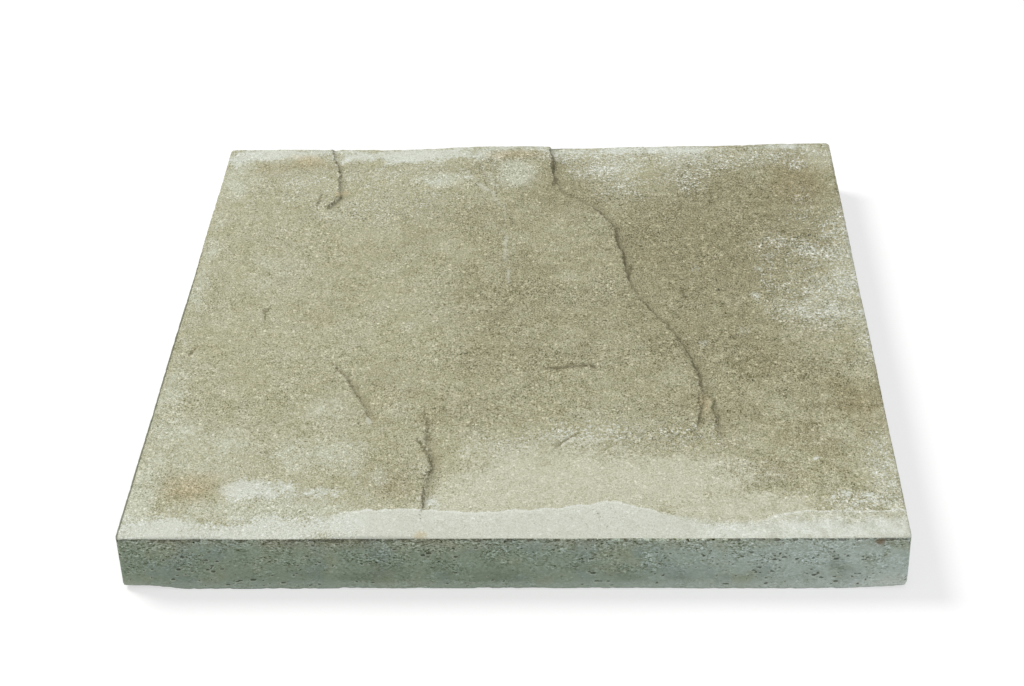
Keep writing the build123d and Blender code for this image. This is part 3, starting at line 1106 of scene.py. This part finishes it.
blurred_part = within(face, axes["X"], (72 * mm, 104 * mm), (158 * mm, 138 * mm))
spread = added(face, 1.0, (blurred_part, 9.0))
band = smooth_step(face, calculate(face, "DIVIDE", behind, spread), 0.5 * mm, -0.5 * mm)
fading = added(face, axes["X"], (tremble, 60 * mm))
band = times(face, band, smooth_step(face, fading, -122 * mm, -80 * mm))
trembling_y = added(face, axes["Y"], (tremble, 20 * mm))
sanded_end = times(
    face, smooth_step(face, fading, 138 * mm, 165 * mm),
    smooth_step(face, trembling_y, -214 * mm, -206 * mm),
)
crest = within(face, behind, (1.2 * mm, 0.2 * mm), (-2.5 * mm, -0.3 * mm))
crest = times(face, crest, band, added(face, 1.0, (blurred_part, -0.85)))
band = times(face, band, added(face, 1.0, (sanded_end, -0.65)))
colour = painted(face, colour, band, 0.75, tone(212, 216, 205))
colour = painted(face, colour, crest, 0.65, tone(226, 228, 218))
tanned = ragged_zone("tan_spot", 1.6, 1.8, 0.25, 0.85)
colour = painted(face, colour, tanned, 0.62, tone(192, 177, 141))
print("riven face with its band:", len(face.nodes), "nodes")

# %% Grains of sand
# Each grain only makes the colour under it lighter or darker, less so on smooth skin.


def lightened(tree, colour, change):
    """The colour made lighter or darker by a share. Blue changes most, as in pale sand."""
    whole = calculate(tree, "ADD", change, 1.0)
    blue = added(tree, 1.0, (change, 1.25))
    factors = add_node(
        tree, "ShaderNodeCombineColor", {"Red": whole, "Green": whole, "Blue": blue}
    ).outputs[0]
    return mixed(tree, 1.0, colour, factors, blend="MULTIPLY")


smooth_skin = times(face, zones["cream_zone"], 0.50)
for zone, smoothness in ((zones["lime_bloom"], 0.55), (zones["pale_dust"], 0.28), (band, 0.70)):
    smooth_skin = calculate(face, "MAXIMUM", smooth_skin, times(face, zone, smoothness))
patchy = smooth_step(face, noise_value(face, place, 40 * mm, 2.0, 0.5, seed=4), 0.3, 0.7)
graininess = added(face, 0.75, (patchy, 0.35), (zones["damp_and_falloff_shade"], 0.60))
graininess = times(face, graininess, calculate(face, "SUBTRACT", 1.0, smooth_skin))
fine_sand = use_group(
    face, sand, Place=place, Grains_per_Metre=860.0,
    Share_of_Pale_Grains=0.38, Share_of_Dark_Grains=0.40,
)
coarse_sand = use_group(
    face, sand, Place=place, Grains_per_Metre=420.0,
    Share_of_Pale_Grains=0.12, Share_of_Dark_Grains=0.05,
)
fuzz = noise_value(face, place, 0.9 * mm, 2.0, 0.7, seed=5)
clumps = centred_noise(face, place, 6 * mm, 2.0, 0.7, seed=12)
lightness = added(
    face, 0.0, (calculate(face, "SUBTRACT", fuzz, 0.5), 2.8), (clumps, 0.5),
    (fine_sand["Pale"], 0.55), (fine_sand["Dark"], -0.50),
    (coarse_sand["Pale"], 0.55), (coarse_sand["Dark"], -0.25),
)
right_side = smooth_step(face, axes["X"], 60 * mm, 150 * mm)
weathered = times(face, centred_noise(face, place, 11 * mm, 4.0, 0.75, seed=19), right_side)
lightness = added(face, times(face, lightness, graininess), (weathered, 1.0))
colour = lightened(face, colour, lightness)
print("riven face with its sand:", len(face.nodes), "nodes")

# %% Dirt and painted shade in creases, scars, and dirt and painted shade on the dark left arris
crumbs = centred_noise(face, place, 2.0 * mm, 3.0, 0.7, seed=6)
breaks = centred_noise(face, place, 11 * mm, 2.0, 0.5, seed=13)
gritty = centred_noise(face, place, 1.2 * mm, 2.0, 0.7, seed=18)

# Mask, the noises that break it up, where it starts and is full, strength and paint.
line_paints = (
    # Dirt and painted shade at the foot of each ledge.
    ("ledge_dirt_and_shade", ((crumbs, 1.4), (gritty, 1.6), (breaks, 0.6)), (0.20, 0.80),
     0.85, tone(92, 86, 56)),
    ("pale_scar", ((gritty, 1.6), (crumbs, 1.0)), (0.20, 0.80), 0.70, tone(206, 208, 192)),
    # Dirt and painted shade in creases.
    ("crevice", ((crumbs, 1.8),), (0.30, 1.0), 0.30, tone(112, 106, 76)),
    # Painted shade in low ground beside the ledges.
    ("hollow_shade", ((crumbs, 0.8),), (0.25, 1.0), 0.22, tone(126, 120, 90)),
)
for name, breaking, edge, amount, paint in line_paints:
    mask = smooth_step(face, added(face, stored_mask(face, name), *breaking), *edge)
    colour = painted(face, colour, mask, amount, paint)

# Dirt and painted shade along the left arris, stronger towards the front.
left_rim_dirt_and_shade = smooth_step(face, axes["X"], -222.4 * mm, -223.4 * mm)
to_front = smooth_step(face, axes["Y"], 150 * mm, 0.0)
left_rim_dirt_and_shade = times(face, left_rim_dirt_and_shade, added(face, 0.4, (to_front, 0.6)))
left_rim_dirt_and_shade = smooth_step(face, added(face, left_rim_dirt_and_shade, (crumbs, 1.6)), 0.45, 0.95)
colour = painted(face, colour, left_rim_dirt_and_shade, 0.80, tone(92, 94, 74))
face.links.new(colour, face_shader.inputs["Base Color"])
print("lines painted on the face:", *(row[0] for row in line_paints))

# %% Relief of the grains
relief = added(face, fuzz, (fine_sand["Height"], 0.7), (coarse_sand["Height"], 0.8))
relief = times(face, relief, graininess)
bump = add_node(
    face, "ShaderNodeBump", {"Height": relief, "Strength": 0.9, "Distance": 0.5 * mm}
)
face.links.new(bump.outputs["Normal"], face_shader.inputs["Normal"])
print("finished riven face:", len(face.nodes), "nodes")

# %% [markdown]
# ## The cast finish
# The sides never saw the split stone. They are grey-green cement with fine pores, painted a
# little lighter and bluer to the right where more light falls, pale at the foot, brown under
# the arris where damp ran down, and with painted shade in the air pockets and nicks.

# %% Cement of the sides
cast, cast_shader, place = start_finish(cast_finish, roughness=0.85)
axes = add_node(cast, "ShaderNodeSeparateXYZ", {"Vector": place}).outputs
# Painted light: the sides turn lighter and bluer to the right, where more light falls, and the pale
# foot follows the same ramp.
to_right = smooth_step(cast, axes["X"], -20 * mm, 220 * mm)
colour = mixed(cast, to_right, tone(147, 161, 141), tone(188, 201, 192))
cloudy = smooth_step(cast, noise_value(cast, place, 26 * mm, 5.0, 0.6, seed=7), 0.42, 0.68)
colour = mixed(cast, cloudy, colour, tone(156, 164, 140))
bluish = smooth_step(cast, noise_value(cast, place, 20 * mm, 3.0, 0.6, seed=14), 0.50, 0.66)
colour = painted(cast, colour, bluish, 0.45, tone(142, 156, 150))
low_part = smooth_step(cast, axes["Z"], 9 * mm, 2 * mm)
pale_foot = mixed(cast, to_right, tone(182, 194, 178), tone(212, 222, 212))
colour = painted(cast, colour, low_part, 0.68, pale_foot)
bleached = times(
    cast, smooth_step(cast, axes["X"], 170 * mm, 215 * mm),
    smooth_step(cast, axes["Z"], 15 * mm, 6 * mm),
)
colour = painted(cast, colour, bleached, 0.55, tone(226, 235, 227))
print("plain cement:", len(cast.nodes), "nodes")

# %% Damp on the sides
high_part = smooth_step(cast, axes["Z"], 26 * mm, 37 * mm)
colour = painted(cast, colour, high_part, 0.35, tone(184, 190, 170))
damp_run = smooth_step(cast, noise_value(cast, place, 30 * mm, 4.0, 0.6, seed=8), 0.42, 0.60)
drier = smooth_step(cast, axes["X"], -60 * mm, 60 * mm)
damp_run = times(cast, high_part, damp_run, added(cast, 1.0, (drier, -0.6)))
colour = painted(cast, colour, damp_run, 0.48, tone(138, 130, 102))

# Dark damp smudges low down in the middle.
smudges = times(
    cast, within(cast, axes["X"], (-150 * mm, -60 * mm), (110 * mm, 60 * mm)),
    smooth_step(cast, axes["Z"], 4 * mm, 8 * mm), smooth_step(cast, axes["Z"], 24 * mm, 14 * mm),
)
smeared = on_vectors(cast, "MULTIPLY", place, (1.0, 1.0, 2.5))
smeared = smooth_step(cast, noise_value(cast, smeared, 30 * mm, 3.0, 0.6, seed=20), 0.44, 0.60)
colour = painted(cast, colour, times(cast, smudges, smeared), 0.45, tone(116, 128, 104))
print("cement with its damp:", len(cast.nodes), "nodes")

# %% Rough and smooth patches
# Where the paste did not close against the mould, the side is rough: full of pores with
# pale rims, more so under the arris. The pores are wider than high.
flattened = on_vectors(cast, "MULTIPLY", place, (1.0, 1.0, 1.7))
rough_patch = noise_value(cast, flattened, 13 * mm, 3.0, 0.6, seed=15)
rough_patch = smooth_step(cast, added(cast, rough_patch, (high_part, 0.16)), 0.40, 0.66)
upper_half = smooth_step(cast, axes["Z"], 7 * mm, 21 * mm)
graininess = times(
    cast, added(cast, 0.35, (rough_patch, 0.75)), added(cast, 1.0, (to_right, -0.25)),
    added(cast, 0.52, (upper_half, 0.60)),
)
fine_pores = use_group(
    cast, sand, Place=flattened, Grains_per_Metre=760.0,
    Share_of_Pale_Grains=0.36, Share_of_Dark_Grains=0.30,
)
wide_pores = use_group(
    cast, sand, Place=flattened, Grains_per_Metre=420.0,
    Share_of_Pale_Grains=0.14, Share_of_Dark_Grains=0.16,
)
fuzz = noise_value(cast, flattened, 1.6 * mm, 2.0, 0.7, seed=16)
lightness = added(
    cast, 0.0, (calculate(cast, "SUBTRACT", fuzz, 0.5), 2.8),
    (fine_pores["Pale"], 0.65), (fine_pores["Dark"], -0.50),
    (wide_pores["Pale"], 0.60), (wide_pores["Dark"], -0.85),
)
colour = lightened(cast, colour, times(cast, lightness, graininess))
print("cement with its pores:", len(cast.nodes), "nodes")

# %% Pockets, flakes, nicks and rust
flakes = smooth_step(cast, noise_value(cast, flattened, 7 * mm, 3.0, 0.6, seed=9), 0.70, 0.74)
colour = painted(cast, colour, flakes, 0.5, tone(204, 210, 198))
pocket = stored_mask(cast, "pocket")
rim = within(cast, pocket, (0.02, 0.20), (0.55, 0.25))
colour = painted(cast, colour, rim, 0.5, tone(206, 212, 196))
# Painted shade in the air pockets.
pocket_shade = smooth_step(cast, pocket, 0.30, 0.75)
colour = painted(cast, colour, pocket_shade, 0.80, tone(74, 78, 62))
# Dark nicks under the arris: painted shade in small chips.
under_arris = smooth_step(cast, axes["Z"], 33.5 * mm, 37 * mm)
shaded_nicks = noise_value(cast, flattened, 3.2 * mm, 3.0, 0.7, seed=17)
shaded_nicks = smooth_step(cast, added(cast, shaded_nicks, (under_arris, 0.22)), 0.69, 0.75)
colour = painted(cast, colour, shaded_nicks, 0.70, tone(84, 82, 62))
rust_place = (207 * mm, -half_side, 34.8 * mm)
from_rust = added(cast, on_vectors(cast, "DISTANCE", place, rust_place), (fuzz, 3.0 * mm))
rust = smooth_step(cast, from_rust, 5.0 * mm, 3.2 * mm)
colour = painted(cast, colour, rust, 0.75, tone(126, 106, 76))
cast.links.new(colour, cast_shader.inputs["Base Color"])

# %% Relief of the pores
relief = added(cast, fuzz, (fine_pores["Dark"], -0.5), (wide_pores["Dark"], -0.9), (shaded_nicks, -1.0))
relief = times(cast, relief, graininess)
bump = add_node(
    cast, "ShaderNodeBump", {"Height": relief, "Strength": 0.9, "Distance": 0.6 * mm}
)
cast.links.new(bump.outputs["Normal"], cast_shader.inputs["Normal"])
print("finished cast sides:", len(cast.nodes), "nodes")

# %% [markdown]
# ## Floor, light and camera
# The slab lies on a plain white floor under soft studio light. A large lamp behind to the
# left grazes the face, which draws the ledges as dark lines, and a weak cool one fills
# the front. The white that the camera sees comes from the floor's own finish, so that
# no extra light falls on the concrete.

# %% Floor
floor_reach = 6.0
floor_mesh = bpy.data.meshes.new("white_floor")
floor_mesh.from_pydata(
    [(-floor_reach, -floor_reach, 0), (floor_reach, -floor_reach, 0),
     (floor_reach, floor_reach, 0), (-floor_reach, floor_reach, 0)],
    [], [(0, 1, 2, 3)],
)
floor = bpy.data.objects.new("white_floor", floor_mesh)
bpy.context.scene.collection.objects.link(floor)


def seen_rays(tree):
    """1 for rays that show the background: from the camera, by gloss or through glass."""
    path = add_node(tree, "ShaderNodeLightPath").outputs
    seen = calculate(tree, "MAXIMUM", path["Is Camera Ray"], path["Is Glossy Ray"])
    return calculate(tree, "MAXIMUM", seen, path["Is Transmission Ray"])


floor_finish = bpy.data.materials.new("white_floor")
floor_mesh.materials.append(floor_finish)
floor_grey, floor_glow = 0.48, 0.57
tree, shader, place = start_finish(floor_finish, roughness=1.0)
shader.inputs["Base Color"].default_value = (floor_grey, floor_grey, floor_grey, 1.0)
shader.inputs["Specular IOR Level"].default_value = 0.0
shader.inputs["Emission Color"].default_value = (1.0, 1.0, 1.0, 1.0)
tree.links.new(times(tree, seen_rays(tree), floor_glow), shader.inputs["Emission Strength"])
print("floor", 2 * floor_reach, "m wide")

# %% World
soft_light = 0.52
world = bpy.data.worlds.new("studio")
bpy.context.scene.world = world
world.use_nodes = True
tree = world.node_tree
backdrop = tree.nodes["Background"]
backdrop.inputs["Color"].default_value = (1.0, 1.0, 1.0, 1.0)
brightness = added(tree, soft_light, (seen_rays(tree), 1.0 - soft_light))
tree.links.new(brightness, backdrop.inputs["Strength"])
print("soft light of the studio", soft_light)

# %% Lamps


def add_soft_lamp(name, place, size, power, colour):
    """A round area lamp that faces the slab."""
    light = bpy.data.lights.new(name, "AREA")
    light.shape, light.size, light.energy, light.color = "DISK", size, power, colour
    lamp = bpy.data.objects.new(name, light)
    lamp.location = place
    lamp.rotation_euler = (-Vector(place)).to_track_quat("-Z", "Y").to_euler()
    bpy.context.scene.collection.objects.link(lamp)
    print(name, power, "W,", round(Vector(place).length, 1), "m away")


add_soft_lamp("key_lamp", (-3.4, 1.8, 4.8), size=2.2, power=225, colour=(1.0, 1.0, 0.98))
add_soft_lamp("front_fill", (1.2, -2.0, 0.8), size=1.2, power=8, colour=(0.95, 0.98, 1.0))

# %% Camera
# Its place and turn were found from the corners of the slab in the photo.
camera_place = (46.5 * mm, -1056.6 * mm, 751.7 * mm)
heading, tilt, roll = (math.radians(angle) for angle in (2.86, 55.15, -2.0))
camera_data = bpy.data.cameras.new("camera")
camera_data.sensor_width = 36.0
camera_data.lens = 68.3
camera = bpy.data.objects.new("camera", camera_data)
bpy.context.scene.collection.objects.link(camera)
camera.matrix_world = (
    Matrix.Translation(camera_place)
    @ Matrix.Rotation(heading, 4, "Z")
    @ Matrix.Rotation(tilt, 4, "X")
    @ Matrix.Rotation(roll, 4, "Z")
)
bpy.context.scene.camera = camera
bpy.context.scene.view_settings.view_transform = "Standard"
print("camera", round(Vector(camera_place).length, 2), "m away")
